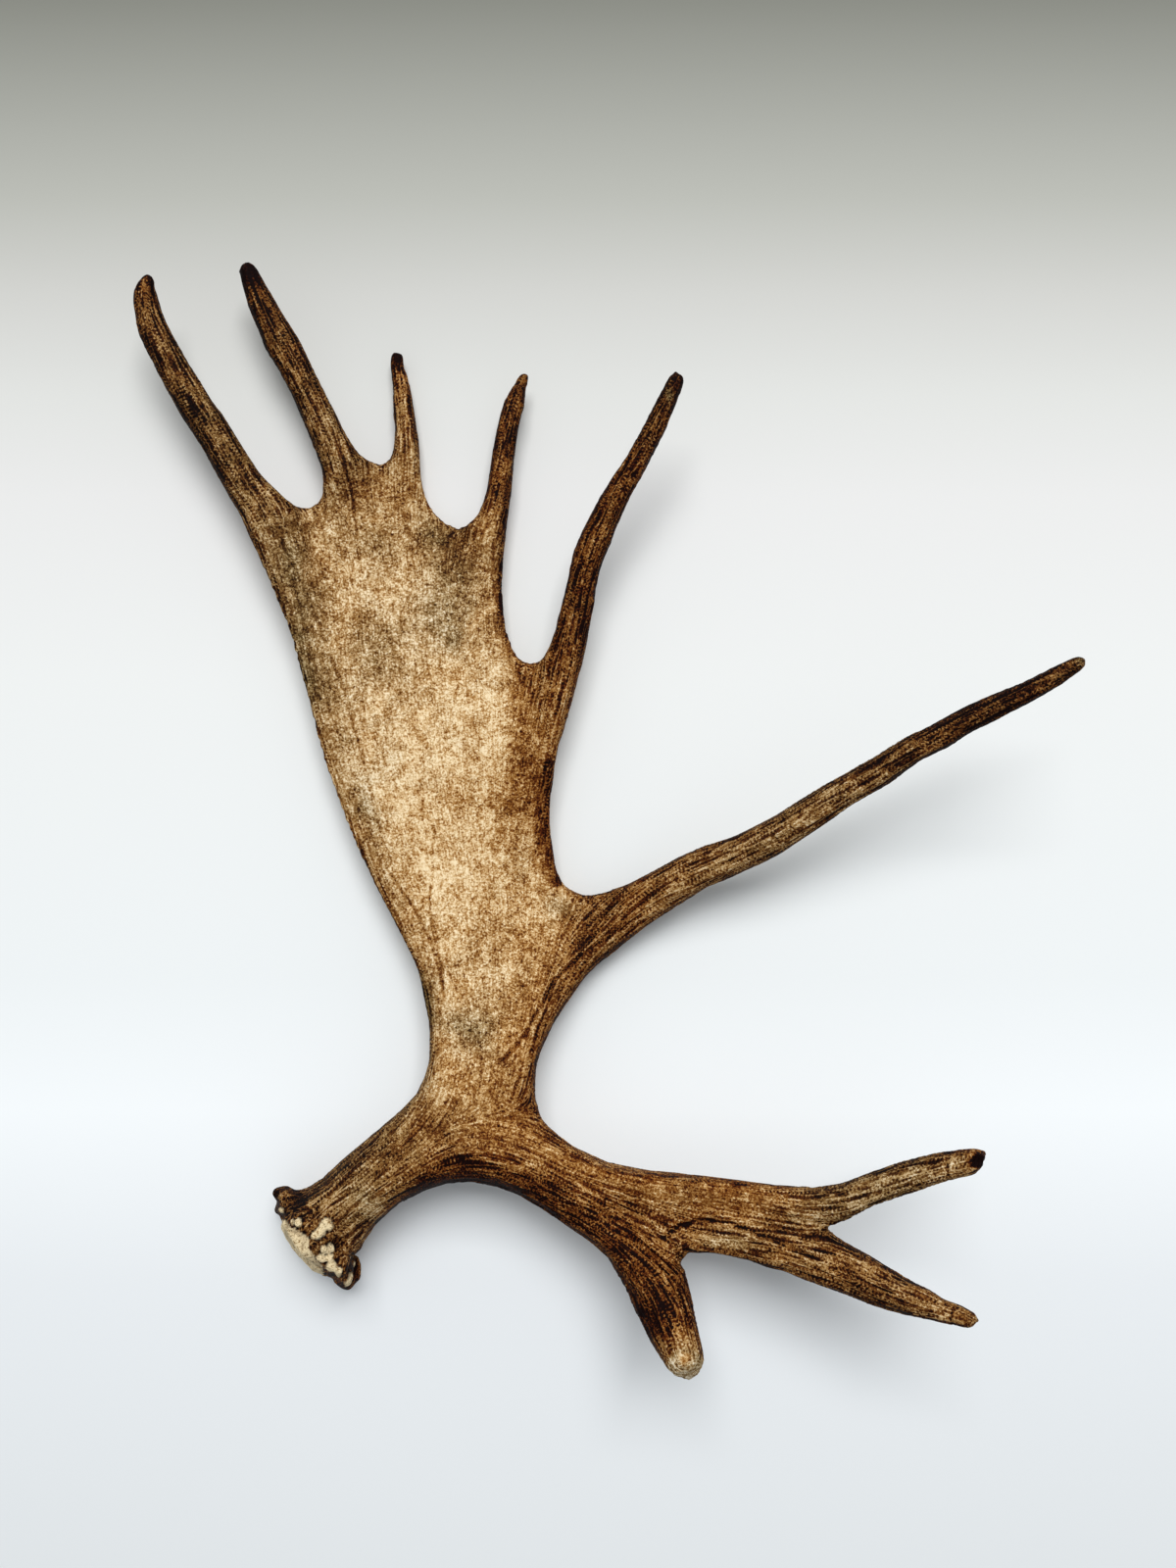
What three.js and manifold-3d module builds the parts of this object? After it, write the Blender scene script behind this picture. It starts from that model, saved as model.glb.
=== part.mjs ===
// Shed moose antler, lying on the back of its palm with the hollow side up.
// It grew as one piece and is split here at its main forks.
// Millimetres, +Z up; the main palm points along +Y and the brow branch along +X.

import * as THREE from 'three';
import { mergeVertices } from 'three/addons/utils/BufferGeometryUtils.js';
import Module from 'manifold-3d';

const FORK_GAP = 0.3; // left between two pieces where the bone is parted
const REST_CUT = 1.6; // height of the flats worn on the lowest points of the back
const TINE_SIDES = 14;
const TINE_RINGS = 12;
const RIDGE_DEPTH = 0.05; // of the half width, from ridge to groove on a tine
const VEIN_HEIGHT = 0.8; // of the vein ridges that fan over the main palm
const VEIN_COUNT = 6;

// Each tine is a list of stations from its buried root to its tip:
// x, y, z, half width, half height. cutAt and cutToward give its fork.
const tines = {
  palm_tine_1: {
    stations: [
      [-188, 62, 29, 5, 4.6],
      [-200, 104, 32, 8, 7],
      [-208, 136, 35, 12, 9],
      [-212, 160, 35, 17, 10],
      [-222, 187, 35, 18, 11],
      [-242, 215, 37, 13.2, 11],
      [-263, 249, 40, 12.2, 10.5],
      [-285, 287, 44, 11.3, 10],
      [-299, 318, 48, 9.7, 8.5],
      [-303, 336, 50, 7.6, 7],
      [-299, 345, 52, 4.6, 4.6],
    ],
    cutAt: [-236, 208, 36],
    cutToward: [-286, 300, 44],
  },
  palm_tine_2: {
    stations: [
      [-150, 150, 12.5, 6, 4.6],
      [-158, 180, 15, 11, 7],
      [-170, 211, 20, 17.6, 8.6],
      [-177, 232, 24, 14, 10],
      [-191, 266, 27, 11.7, 10.5],
      [-207, 298, 31, 11.4, 10.5],
      [-226, 333, 34, 9.5, 9],
      [-235, 352, 36, 7.2, 7],
      [-238, 363, 37, 4.6, 4.6],
    ],
    cutAt: [-178, 236, 24],
    cutToward: [-227, 334, 34],
  },
  palm_tine_3: {
    stations: [
      [-122, 160, 8.5, 6, 4.6],
      [-128, 190, 10.5, 10, 6],
      [-132, 218, 13, 14, 7.4],
      [-130, 240, 14, 9.6, 7.6],
      [-131, 262, 12, 7.7, 7],
      [-133, 283, 11, 6.6, 6.2],
      [-136, 301, 10, 5.4, 5.2],
      [-137, 309, 10, 4, 4],
    ],
    cutAt: [-130, 236, 14],
    cutToward: [-133, 283, 11],
  },
  palm_tine_4: {
    stations: [
      [-69, 108, 16.5, 6, 4.6],
      [-71, 140, 17, 9, 7],
      [-74, 168, 18, 13.4, 8.4],
      [-69, 191, 18, 11, 9],
      [-63, 215, 18, 9, 8.5],
      [-60, 239, 19, 8.1, 7.8],
      [-53, 263, 20, 7.4, 6.8],
      [-46, 282, 20, 5, 5],
      [-44, 291, 20, 2.6, 2.6],
    ],
    cutAt: [-67, 192, 18],
    cutToward: [-55, 255, 20],
  },
  palm_tine_5: {
    stations: [
      [-38, -52, 19, 6, 5.4],
      [-37, -14, 25, 8.6, 8],
      [-32, 26, 30, 11, 11],
      [-23, 62, 31, 12.4, 12],
      [-16, 89, 32, 12.4, 12],
      [-9, 122, 36, 11, 11],
      [-2, 152, 43, 10.6, 10],
      [12, 183, 51, 9.6, 9.2],
      [31, 218, 59, 7.9, 7.6],
      [45, 242, 66, 7.2, 7],
      [57, 264, 72, 6, 6],
      [61, 271, 75, 4.2, 4.2],
    ],
    cutAt: [-11, 114, 35],
    cutToward: [45, 242, 66],
  },
  palm_tine_6: {
    stations: [
      [-47, -214, 46, 9, 12],
      [-41, -178, 36, 10, 13],
      [-23, -143, 25, 11.5, 14],
      [2, -112, 16.4, 13, 16],
      [30, -86, 20, 15.6, 15.6],
      [60, -65, 31, 14.6, 13.4],
      [93, -49, 43, 13, 12],
      [132, -29, 56, 11.8, 11],
      [167, -5, 70, 10.5, 10],
      [202, 18, 84, 9.6, 9],
      [236, 40, 98, 8.4, 8],
      [270, 57, 112, 7.3, 7],
      [300, 73, 124, 5.8, 5.6],
      [307, 76, 127, 4, 4],
    ],
    cutAt: [54, -69, 29],
    cutToward: [236, 40, 98],
  },
  brow_tine_1: {
    stations: [
      [-56, -266, 52, 10, 14],
      [-28, -278, 54, 13, 16],
      [0, -291, 58, 15, 17],
      [26, -308, 67, 18, 18],
      [46, -330, 80, 19, 18],
      [54, -347, 94, 16.6, 16.6],
      [60, -360, 107, 13.6, 14],
      [62, -366, 113, 11.6, 12],
    ],
    cutAt: [36, -318, 73],
    cutToward: [59, -358, 104],
  },
  brow_tine_2: {
    stations: [
      [70, -299, 65, 8, 7],
      [98, -299, 73, 12, 11],
      [130, -301, 79, 15.6, 13],
      [164, -311, 86, 15, 13.6],
      [189, -322, 93, 13.6, 12.6],
      [210, -328, 101, 11.6, 11],
      [229, -331, 111, 8.4, 8],
      [241, -332, 118, 5.4, 5.4],
    ],
    cutAt: [160, -310, 85],
    cutToward: [210, -329, 101],
  },
  brow_tine_3: {
    stations: [
      [100, -271, 71, 7, 7],
      [138, -272, 80, 11, 11],
      [165, -268, 86, 12, 11.5],
      [192, -255, 92, 10.6, 10],
      [219, -244, 100, 9.4, 9],
      [240, -235, 110, 8.6, 8.2],
      [248, -232, 114, 6.6, 6.6],
    ],
    cutAt: [166, -267, 86],
    cutToward: [219, -244, 100],
  },
};

// The beam, from inside the burr to inside the brow branch.
const beamStations = [
  [-196, -309, 38, 30, 30],
  [-183, -299, 38, 29, 28],
  [-168, -287, 40, 25.2, 25],
  [-152, -275, 42, 24.6, 24],
  [-130, -260, 46, 26.6, 24],
  [-104, -247, 49, 28, 24],
  [-72, -243, 51, 28.6, 24],
  [-43, -253, 53, 28.6, 22],
  [-15, -269, 57, 26, 18],
  [12, -281, 61, 23, 14],
];

// Rows across the main palm from the fork up to the tines:
// left rim x, y, z, right rim x, y, z, drop of the middle below the rims, thickness.
const mainPalmRows = [
  [-142, -231, 49, -38, -238, 50, 0, 42],
  [-113, -205, 45, -36, -207, 45, 0, 41],
  [-110, -169, 36, -29, -170, 35, 2, 37],
  [-117, -136, 31, -10, -132, 25, 5, 30],
  [-139, -90, 29, 6, -85, 19, 9, 21],
  [-150, -70, 29, -16, -70, 20, 11, 18.5],
  [-161, -46, 30, -26, -46, 23, 12, 17],
  [-177, 2, 31, -28, 0, 28, 13, 14.5],
  [-193, 50, 32, -20, 41, 30, 14, 13],
  [-199, 74, 33, -14, 75, 30, 14, 12.5],
  [-204, 92, 33, -40, 85, 25, 13.5, 12],
  [-210, 116, 34, -58, 108, 22, 13.5, 12],
  [-220, 144, 34, -63, 138, 20, 12.6, 12],
  [-232, 176, 35, -64, 168, 18, 11, 12],
];
// Top edge of the main palm, through the notches between its tines.
const mainPalmTop = [
  [-238, 187, 35],
  [-203, 196, 24],
  [-178, 216, 20],
  [-149, 231, 16],
  [-121, 213, 13],
  [-94, 186, 14],
  [-68, 180, 18],
];

// Rows across the brow palm, from the fork out to its tines, as above.
const browPalmRows = [
  [-84, -262, 51, -66, -216, 50, 0, 40],
  [-53, -271, 54, -38, -227, 52, 0, 38],
  [-26, -286, 58, -14, -243, 55, 2, 34],
  [0, -300, 62, 16, -253, 60, 4, 28],
  [28, -314, 67, 52, -259, 64, 6, 23],
  [62, -311, 72, 91, -261, 70, 6, 20],
  [97, -311, 77, 119, -264, 76, 5, 19],
  [128, -311, 82, 140, -267, 81, 3, 19],
  [152, -303, 85, 156, -276, 84, 0, 18],
];

// The burr: a knobbly collar round the base of the beam, and the seal it broke off at.
const BURR_CENTRE = [-190, -314, 35.2];
const BURR_FACING = [-0.69, -0.54, 0.48];
const BURR_RADIUS = 40;
const BURR_KNOBS = 11;
const BURR_KNOB_HEIGHT = 3;
const SEAL_RADIUS = 27;
const SEAL_DOME = 7;
// Its pearls and outer lobes: x, y, z, radius.
const pearls = [
  [-178, -302, 64, 6.5],
  [-174, -316, 59, 6.5],
  [-169, -331, 50, 6.5],
  [-211, -279, 40, 9],
  [-172, -349, 26, 9],
  [-163, -337, 23, 9],
];

// Forks of the branches: a point on the parting and the way the branch leaves.
const NECK_FORK = { at: [-72, -205, 45], toward: [-68, -120, 30] };
const BROW_FORK = { at: [-8, -262, 57], toward: [90, -300, 74] };

const wasm = await Module();
wasm.setup();

function toSolid(geometry) {
  const bare = geometry.clone();
  bare.deleteAttribute('normal');
  bare.deleteAttribute('uv');
  const merged = mergeVertices(bare, 1e-4);
  const corners = merged.index.array;
  if (holds(merged) < 0) corners.reverse();
  return new wasm.Manifold(new wasm.Mesh({
    numProp: 3,
    vertProperties: new Float32Array(merged.attributes.position.array),
    triVerts: new Uint32Array(corners),
  }));
}

// Volume inside a mesh, negative if its faces point inwards.
function holds(geometry) {
  const corner = [0, 1, 2].map(() => new THREE.Vector3());
  let volume = 0;
  for (let i = 0; i < geometry.index.count; i += 3) {
    corner.forEach((c, k) => c.fromBufferAttribute(geometry.attributes.position, geometry.index.getX(i + k)));
    volume += corner[0].dot(corner[1].clone().cross(corner[2])) / 6;
  }
  return volume;
}

function toGeometry(solid) {
  const mesh = solid.getMesh();
  const geometry = new THREE.BufferGeometry();
  geometry.setAttribute('position', new THREE.BufferAttribute(new Float32Array(mesh.vertProperties), 3));
  geometry.setIndex(new THREE.BufferAttribute(new Uint32Array(mesh.triVerts), 1));
  geometry.computeVertexNormals();
  return geometry;
}

function smooth(points) {
  const list = points.map(([x, y, z]) => new THREE.Vector3(x, y, z));
  return new THREE.CatmullRomCurve3(list, false, 'catmullrom', 0.5);
}

// A round bar bent through its stations, with ridges along it and a worn, rounded tip.
function bentBar(stations, sides, rings, ridge) {
  const middle = smooth(stations);
  const girth = smooth(stations.map((s) => [s[3], s[4], 0]));
  const profile = [new THREE.Vector2(0, 0)];
  for (let i = 0; i <= rings; i += 1) profile.push(new THREE.Vector2(1, i / rings));
  profile.push(new THREE.Vector2(0, 1));
  const geometry = new THREE.LatheGeometry(profile, sides);
  const position = geometry.attributes.position;
  const up = new THREE.Vector3(0, 0, 1);
  for (let i = 0; i < position.count; i += 1) {
    const along = position.getY(i);
    const angle = Math.atan2(position.getZ(i), position.getX(i));
    const out = Math.hypot(position.getX(i), position.getZ(i));
    const swell = out * (1 + ridge * Math.cos(angle * sides / 2));
    const forward = middle.getTangent(along);
    const side = new THREE.Vector3().crossVectors(up, forward).normalize();
    const over = new THREE.Vector3().crossVectors(forward, side);
    const size = girth.getPoint(along);
    const point = middle.getPoint(along)
      .addScaledVector(side, Math.cos(angle) * swell * size.x)
      .addScaledVector(over, Math.sin(angle) * swell * size.y);
    position.setXYZ(i, point.x, point.y, point.z);
  }
  return toSolid(geometry);
}

// A dished plate between two rims, rounded along its edges.
// top, if given, is the line that its far end follows.
function palmPlate(rows, across, along, top, veins) {
  const left = smooth(rows.map((r) => [r[0], r[1], r[2]]));
  const right = smooth(rows.map((r) => [r[3], r[4], r[5]]));
  const form = smooth(rows.map((r) => [r[6], r[7], 0]));
  const farEdge = top ? smooth(top) : null;
  const geometry = new THREE.BoxGeometry(1, 1, 1, across, along, 1);
  const position = geometry.attributes.position;
  for (let i = 0; i < position.count; i += 1) {
    const u = 0.5 - 0.5 * Math.cos(Math.PI * (position.getX(i) + 0.5));
    const v = position.getY(i) + 0.5;
    const face = Math.sign(position.getZ(i));
    const point = left.getPoint(v).lerp(right.getPoint(v), u);
    const { x: drop, y: thickness } = form.getPoint(v);
    const offCentre = Math.abs(2 * u - 1);
    if (farEdge) {
      const pull = THREE.MathUtils.smoothstep(v, 0.55, 1);
      const edge = farEdge.getPoint(u);
      const flatEdge = left.getPoint(1).lerp(right.getPoint(1), u);
      point.addScaledVector(edge.sub(flatEdge), pull);
    }
    const sharpness = THREE.MathUtils.lerp(2, 7, THREE.MathUtils.smoothstep(v, 0, 0.5));
    const roundRim = (1 - offCentre ** sharpness) ** (1 / sharpness);
    const roundEnd = Math.sqrt(1 - THREE.MathUtils.smoothstep(v, 0.95, 1) ** 2 * 0.9);
    const half = Math.max(thickness / 2 * roundRim * roundEnd, 0.6);
    const fan = THREE.MathUtils.smoothstep(v, 0.15, 0.4) * (1 - offCentre ** 4);
    const vein = face > 0 ? veins * fan * Math.cos(Math.PI * 2 * VEIN_COUNT * u) : 0;
    const sag = farEdge ? drop * (1 - offCentre ** 2.4) * (1 - 0.6 * THREE.MathUtils.smoothstep(v, 0.85, 1)) : drop * (1 - offCentre ** 2.4);
    position.setXYZ(i, point.x, point.y, point.z - sag + face * half + vein);
  }
  return toSolid(geometry);
}

// The side of a fork that a branch leaves by, as a box about the line from at to toward.
function forkBox({ at, toward }, halfSize, length, setBack) {
  const start = new THREE.Vector3(...at);
  const way = new THREE.Vector3(...toward).sub(start).normalize();
  const geometry = new THREE.BoxGeometry(halfSize * 2, halfSize * 2, length);
  geometry.translate(0, 0, length / 2 - setBack);
  geometry.applyQuaternion(new THREE.Quaternion().setFromUnitVectors(new THREE.Vector3(0, 0, 1), way));
  geometry.translate(start.x, start.y, start.z);
  return toSolid(geometry);
}

function collar() {
  const profile = [
    [0, 12], [BURR_RADIUS * 0.62, 12], [BURR_RADIUS * 0.84, 7], [BURR_RADIUS * 0.99, 1],
    [BURR_RADIUS, -4], [BURR_RADIUS * 0.9, -8], [SEAL_RADIUS, -7],
    [SEAL_RADIUS * 0.8, -8 - SEAL_DOME * 0.45], [SEAL_RADIUS * 0.4, -8 - SEAL_DOME * 0.9],
    [0, -8 - SEAL_DOME],
  ].map(([r, y]) => new THREE.Vector2(r, -y));
  const geometry = new THREE.LatheGeometry(profile, BURR_KNOBS * 3);
  const position = geometry.attributes.position;
  for (let i = 0; i < position.count; i += 1) {
    const [x, z] = [position.getX(i), position.getZ(i)];
    const reach = Math.hypot(x, z);
    const angle = Math.atan2(z, x);
    const knob = BURR_KNOB_HEIGHT * (Math.cos(BURR_KNOBS * angle) + 0.6 * Math.cos(4 * angle + 1));
    const grown = reach > SEAL_RADIUS * 1.05 ? 1 + knob / reach : 1;
    position.setX(i, x * grown);
    position.setZ(i, z * grown);
  }
  const facing = new THREE.Vector3(...BURR_FACING).normalize();
  geometry.applyQuaternion(new THREE.Quaternion().setFromUnitVectors(new THREE.Vector3(0, 1, 0), facing));
  geometry.translate(...BURR_CENTRE);
  return toSolid(geometry);
}

function pearl([x, y, z, radius]) {
  const geometry = new THREE.IcosahedronGeometry(radius, 1);
  geometry.scale(1.2, 1, 0.8);
  geometry.translate(x, y, z);
  return toSolid(geometry);
}

const floorBlock = new THREE.BoxGeometry(900, 1100, 80);
floorBlock.translate(0, 0, REST_CUT - 40);

let antler = bentBar(beamStations, 16, 11, 0.02)
  .add(collar())
  .add(palmPlate(mainPalmRows, 24, 20, mainPalmTop, VEIN_HEIGHT))
  .add(palmPlate(browPalmRows, 12, 12, null, 0));
for (const spot of pearls) antler = antler.add(pearl(spot));
for (const { stations } of Object.values(tines)) {
  antler = antler.add(bentBar(stations, TINE_SIDES, TINE_RINGS, RIDGE_DEPTH));
}
antler = antler.subtract(toSolid(floorBlock));

const pieces = {};
let rest = antler;
for (const [name, { cutAt, cutToward }] of Object.entries(tines)) {
  const fork = { at: cutAt, toward: cutToward };
  pieces[name] = rest.intersect(forkBox(fork, 24, 330, 0));
  rest = rest.subtract(forkBox(fork, 24, 330, FORK_GAP));
}
pieces.main_palm = rest.intersect(forkBox(NECK_FORK, 500, 700, 0));
rest = rest.subtract(forkBox(NECK_FORK, 500, 700, FORK_GAP));
pieces.brow_palm = rest.intersect(forkBox(BROW_FORK, 500, 700, 0));
pieces.beam = rest.subtract(forkBox(BROW_FORK, 500, 700, FORK_GAP));

const colours = {
  beam: 0x7a5b3a,
  main_palm: 0xb8976a,
  brow_palm: 0x755236,
};
const antlerGroup = new THREE.Group();
for (const name of ['beam', 'main_palm', 'brow_palm', ...Object.keys(tines)]) {
  const material = new THREE.MeshStandardMaterial({
    color: colours[name] ?? 0x5e452e,
    roughness: 0.75,
    metalness: 0,
  });
  const mesh = new THREE.Mesh(toGeometry(pieces[name]), material);
  mesh.name = name;
  antlerGroup.add(mesh);
}

// The origin is under the middle of the antler, on the surface it lies on.
const box = new THREE.Box3().setFromObject(antlerGroup);
const middle = box.getCenter(new THREE.Vector3());
for (const mesh of antlerGroup.children) mesh.geometry.translate(-middle.x, -middle.y, -box.min.z);

export default antlerGroup;
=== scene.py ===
# A shed moose antler, lying hollow side up on a pale floor.
# One skin is grown over the antler's solids, grooved along the grain of the bone and parted again
# at the forks.

import bmesh
import bpy
import numpy as np
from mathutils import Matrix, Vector
from mathutils.bvhtree import BVHTree


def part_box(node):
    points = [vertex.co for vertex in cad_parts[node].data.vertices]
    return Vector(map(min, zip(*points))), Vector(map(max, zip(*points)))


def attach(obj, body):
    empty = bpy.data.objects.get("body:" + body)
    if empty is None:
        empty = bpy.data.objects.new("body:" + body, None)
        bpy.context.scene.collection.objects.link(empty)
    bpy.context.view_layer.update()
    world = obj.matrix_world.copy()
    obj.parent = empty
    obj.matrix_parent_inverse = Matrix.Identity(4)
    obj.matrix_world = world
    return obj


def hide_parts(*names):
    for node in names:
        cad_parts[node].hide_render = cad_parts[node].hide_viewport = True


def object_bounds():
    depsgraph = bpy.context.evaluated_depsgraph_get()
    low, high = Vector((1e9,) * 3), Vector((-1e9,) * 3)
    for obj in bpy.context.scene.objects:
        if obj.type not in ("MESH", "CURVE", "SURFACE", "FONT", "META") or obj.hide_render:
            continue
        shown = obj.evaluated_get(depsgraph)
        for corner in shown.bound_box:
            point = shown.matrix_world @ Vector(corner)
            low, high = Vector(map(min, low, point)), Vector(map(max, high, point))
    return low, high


MM = 0.001
GUIDE_ORIGIN = np.array([-0.44, -5.19, 1.6])  # the frame's origin, in the guides' coordinates

# The grain of the bone runs along these lines, from the burr out to each tip.
# Each point: x, y, z in mm, then darkness, greyness and how deep its grooves are, in mm.
GUIDES = [
    # palm tine 1
    [(-203, -304, 42, 0.67, 0.4, 0.7), (-172, -268, 48, 0.73, 0.45, 0.5),
     (-142, -243, 52, 0.72, 0.45, 0.5), (-116, -214, 50, 0.53, 0.5, 0.4),
     (-110, -170, 38, 0.49, 0.4, 0.3), (-116, -136, 33, 0.46, 0.35, 0.25),
     (-139, -90, 31, 0.48, 0.3, 0.25), (-160, -46, 32, 0.48, 0.35, 0.25),
     (-176, 2, 33, 0.46, 0.4, 0.25), (-192, 50, 34, 0.48, 0.5, 0.25),
     (-203, 96, 35, 0.5, 0.55, 0.3), (-210, 136, 36, 0.52, 0.5, 0.3),
     (-222, 187, 37, 0.6, 0.45, 0.5), (-242, 215, 38, 0.72, 0.45, 0.7),
     (-263, 249, 41, 0.78, 0.5, 0.8), (-285, 287, 45, 0.72, 0.5, 0.8),
     (-299, 318, 49, 0.72, 0.3, 0.7), (-303, 336, 51, 0.8, 0.2, 0.4),
     (-299, 346, 52, 0.86, 0.1, 0.2)],
    # palm tine 2
    [(-187, -300, 55, 0.61, 0.45, 0.7), (-152, -270, 60, 0.68, 0.45, 0.5),
     (-116, -240, 63, 0.64, 0.35, 0.4), (-92, -205, 60, 0.48, 0.15, 0.3),
     (-92, -160, 46, 0.36, 0.15, 0.2), (-102, -110, 32, 0.3, 0.05, 0.12),
     (-124, -50, 22, 0.27, 0.05, 0.08), (-142, 10, 20, 0.27, 0.1, 0.08),
     (-152, 60, 19, 0.3, 0.2, 0.08), (-158, 110, 17, 0.32, 0.2, 0.08),
     (-160, 150, 15, 0.34, 0.2, 0.08), (-166, 185, 17, 0.42, 0.3, 0.2),
     (-173, 215, 21, 0.58, 0.35, 0.4), (-177, 232, 24, 0.65, 0.4, 0.6),
     (-191, 266, 27, 0.72, 0.45, 0.7), (-207, 298, 31, 0.76, 0.4, 0.7),
     (-220, 322, 33, 0.88, 0.3, 0.7), (-228, 338, 35, 0.86, 0.2, 0.4),
     (-238, 363, 37, 0.96, 0.2, 0.15)],
    # palm tine 3
    [(-80, -205, 60, 0.47, 0.1, 0.25), (-80, -150, 43, 0.36, 0.15, 0.15),
     (-90, -90, 28, 0.28, 0.05, 0.1), (-106, -20, 20, 0.25, 0, 0.08),
     (-116, 50, 17, 0.28, 0.05, 0.08), (-122, 120, 14, 0.32, 0.15, 0.08),
     (-126, 160, 13, 0.35, 0.2, 0.08), (-131, 195, 13, 0.42, 0.25, 0.15),
     (-132, 218, 13, 0.46, 0.3, 0.3), (-130, 240, 14, 0.59, 0.3, 0.5),
     (-131, 262, 12, 0.68, 0.25, 0.6), (-133, 283, 11, 0.66, 0.15, 0.6),
     (-136, 300, 10, 0.74, 0.15, 0.4), (-137, 309, 10, 0.94, 0.1, 0.15)],
    # palm tine 4
    [(-68, -205, 58, 0.49, 0.05, 0.3), (-64, -150, 40, 0.38, 0.2, 0.2),
     (-67, -90, 27, 0.31, 0.05, 0.1), (-76, -20, 20, 0.27, 0, 0.08), (-82, 50, 18, 0.28, 0, 0.08),
     (-84, 100, 16, 0.34, 0.2, 0.1), (-83, 140, 16, 0.42, 0.3, 0.12),
     (-78, 168, 18, 0.48, 0.25, 0.25), (-70, 191, 18, 0.61, 0.15, 0.5),
     (-63, 215, 18, 0.78, 0.15, 0.7), (-60, 239, 19, 0.95, 0.1, 0.8),
     (-53, 263, 20, 0.86, 0.05, 0.7), (-46, 282, 20, 0.86, 0.05, 0.3),
     (-44, 291, 20, 0.6, 0.4, 0.1)],
    # palm tine 5
    [(-56, -205, 56, 0.5, 0.05, 0.4), (-46, -150, 38, 0.46, 0.05, 0.3),
     (-44, -95, 27, 0.38, 0.05, 0.15), (-45, -52, 24, 0.36, 0, 0.15), (-39, -14, 28, 0.5, 0, 0.3),
     (-31, 26, 31, 0.58, 0, 0.5), (-22, 62, 33, 0.66, 0, 0.7), (-16, 89, 34, 0.76, 0, 0.8),
     (-9, 122, 37, 0.9, 0.05, 0.9), (-2, 152, 43, 0.92, 0.05, 0.9), (12, 183, 51, 0.9, 0.1, 0.9),
     (31, 218, 59, 0.86, 0.15, 0.8), (45, 242, 66, 0.88, 0.2, 0.6), (57, 264, 72, 1, 0.15, 0.3),
     (61, 271, 75, 0.95, 0.3, 0.15)],
    # palm tine 6
    [(-46, -214, 48, 0.7, 0, 0.7), (-39, -178, 38, 0.74, 0, 0.8), (-22, -143, 29, 0.8, 0, 0.9),
     (4, -112, 24, 0.78, 0.05, 0.9), (30, -86, 24, 0.73, 0.1, 0.8), (60, -65, 31, 0.66, 0.25, 0.8),
     (93, -49, 43, 0.64, 0.35, 0.8), (132, -29, 56, 0.64, 0.45, 0.8), (167, -5, 70, 0.62, 0.5, 0.8),
     (202, 18, 84, 0.78, 0.4, 0.8), (236, 40, 98, 1, 0.3, 0.8), (270, 57, 112, 1.04, 0.3, 0.7),
     (300, 73, 124, 0.96, 0.35, 0.4), (307, 76, 127, 0.78, 0.3, 0.15)],
    # brow tine 1
    [(-184, -318, 32, 0.73, 0.2, 0.8), (-162, -296, 34, 0.74, 0.2, 0.9),
     (-140, -277, 38, 0.84, 0.05, 1), (-112, -266, 42, 0.95, 0, 1), (-84, -262, 50, 1, 0, 1),
     (-56, -268, 56, 0.92, 0, 1), (-28, -280, 62, 0.79, 0, 1), (0, -293, 66, 0.63, 0, 1),
     (26, -308, 74, 0.68, 0, 1.1), (46, -330, 84, 0.89, 0, 1.2), (54, -347, 94, 0.88, 0.05, 1),
     (60, -360, 107, 0.6, 0.3, 0.5), (62, -366, 113, 0.34, 0.35, 0.3)],
    # brow tine 2
    [(-190, -306, 46, 0.64, 0.3, 0.8), (-150, -276, 56, 0.58, 0.4, 0.6),
     (-110, -252, 63, 0.8, 0.15, 0.5), (-70, -240, 64, 0.78, 0.05, 0.5),
     (-35, -250, 65, 0.67, 0, 0.6), (0, -268, 67, 0.64, 0.05, 0.6), (35, -285, 70, 0.74, 0.2, 0.6),
     (70, -299, 75, 0.79, 0.1, 0.7), (98, -300, 79, 0.69, 0.25, 0.8),
     (130, -303, 83, 0.71, 0.25, 0.8), (164, -312, 88, 0.76, 0.25, 0.9),
     (189, -322, 94, 0.76, 0.3, 0.9), (210, -328, 101, 0.72, 0.35, 0.8),
     (229, -331, 111, 0.54, 0.35, 0.4), (241, -332, 118, 0.46, 0.25, 0.15)],
    # brow tine 3
    [(-84, -222, 62, 0.5, 0.15, 0.3), (-56, -226, 62, 0.52, 0.05, 0.24),
     (-25, -242, 62, 0.54, 0, 0.24), (10, -256, 64, 0.53, 0, 0.24), (50, -262, 69, 0.55, 0, 0.24),
     (100, -266, 77, 0.64, 0, 0.24), (138, -271, 83, 0.54, 0.35, 0.6),
     (165, -268, 88, 0.6, 0.6, 0.8), (192, -255, 93, 0.6, 0.65, 0.8),
     (219, -244, 100, 0.6, 0.6, 0.8), (240, -235, 110, 0.58, 0.35, 0.5),
     (248, -232, 114, 0.72, 0.1, 0.3)],
]

# Places on the drawing below are in mm on the floor, as seen by an eye straight above, at EYE.
EYE = np.array([0.0, 8.0, 848.4])

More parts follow.
